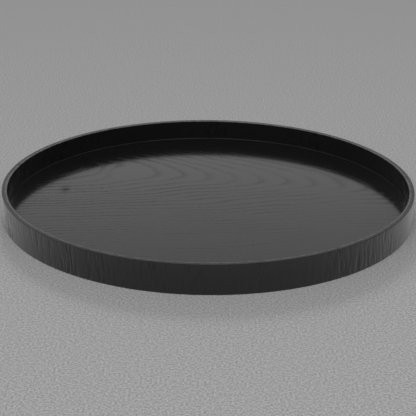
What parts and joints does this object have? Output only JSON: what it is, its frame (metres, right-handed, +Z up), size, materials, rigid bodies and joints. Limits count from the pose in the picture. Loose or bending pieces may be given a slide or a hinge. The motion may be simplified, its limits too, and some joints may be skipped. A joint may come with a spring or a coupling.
{
  "type": "serving tray",
  "caption": "Round serving tray of black-stained plywood: a flat panel glued into the rebate of a low bent-ply hoop that stands on edge and keeps cups and plates from sliding off.",
  "frame": {"origin": "centre of the ring on which the hoop stands, on the surface that the tray rests on", "axes": "+Z up, along the hoop's axis; +X to the right and +Y away from someone who stands in front of the tray; +X runs along the panel's face grain"},
  "size_m": [0.36, 0.36, 0.025],
  "materials": {
    "stained_face_veneer": "black-stained open-pore ash veneer under satin lacquer",
    "stained_edge_ply": "black-stained ply edge under satin lacquer",
    "bare_core_ply": "bare birch ply, hidden inside the panel",
    "wood_glue": "hard clear glue over stained wood, slightly glossy"
  },
  "bodies": {
    "root": {"rim_outer_face_veneer": "stained_face_veneer", "rim_outer_core_ply": "stained_edge_ply", "rim_middle_core_ply": "stained_edge_ply", "rim_inner_core_ply": "stained_edge_ply", "rim_inner_face_veneer": "stained_face_veneer", "rim_glue_lines": "wood_glue", "rim_end_joint_glue": "wood_glue", "base_top_face_veneer": "stained_face_veneer", "base_upper_core_ply": "bare_core_ply", "base_middle_core_ply": "bare_core_ply", "base_lower_core_ply": "bare_core_ply", "base_bottom_face_veneer": "stained_face_veneer", "base_glue_lines": "wood_glue", "rebate_glue": "wood_glue"}
  },
  "joints": []
}
